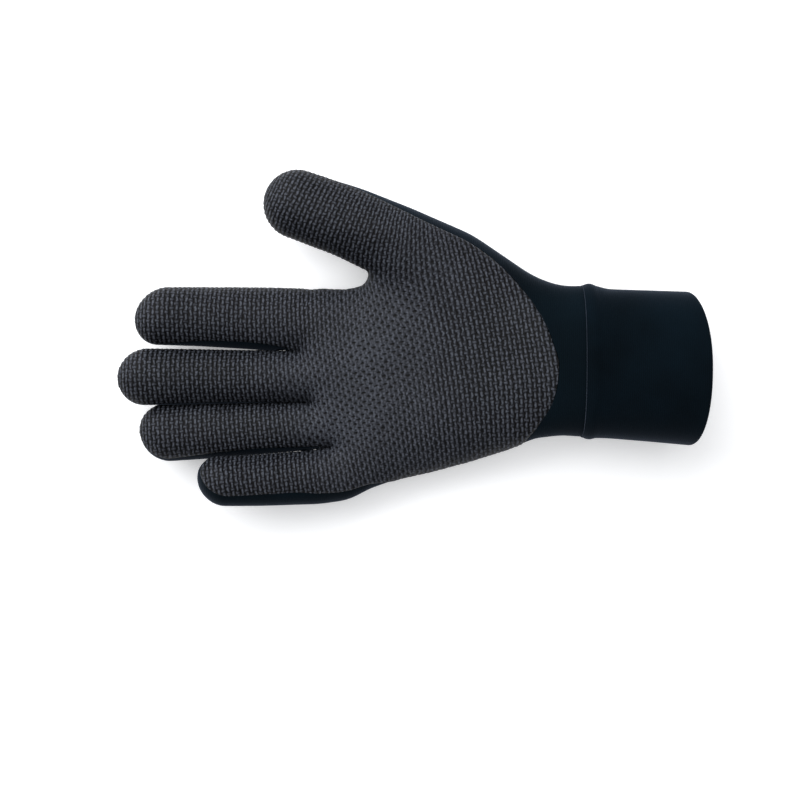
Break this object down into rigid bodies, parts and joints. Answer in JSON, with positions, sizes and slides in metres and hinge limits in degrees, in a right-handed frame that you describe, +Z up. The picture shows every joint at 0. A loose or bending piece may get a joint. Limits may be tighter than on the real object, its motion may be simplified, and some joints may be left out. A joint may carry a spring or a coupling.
{
  "type": "diving glove",
  "caption": "Right-hand neoprene diving glove lying palm up: an embossed grip panel over palm and fingers, a smooth back shell and a tubular cuff, hollow throughout.",
  "frame": {"origin": "centre of the glove's box, on the surface that its back lies on", "axes": "+X from the fingertips to the open end of the cuff, +Y towards the thumb, +Z up out of the palm"},
  "size_m": [0.2712, 0.1564, 0.054],
  "materials": {
    "grip_neoprene": "matte, embossed in a plain-weave relief",
    "back_neoprene": "matte nylon jersey on neoprene",
    "cuff_neoprene": "matte nylon jersey on neoprene, with fine knit lines"
  },
  "bodies": {
    "root": {"palm_panel": "grip_neoprene", "back_shell": "back_neoprene", "cuff": "cuff_neoprene"}
  },
  "joints": []
}
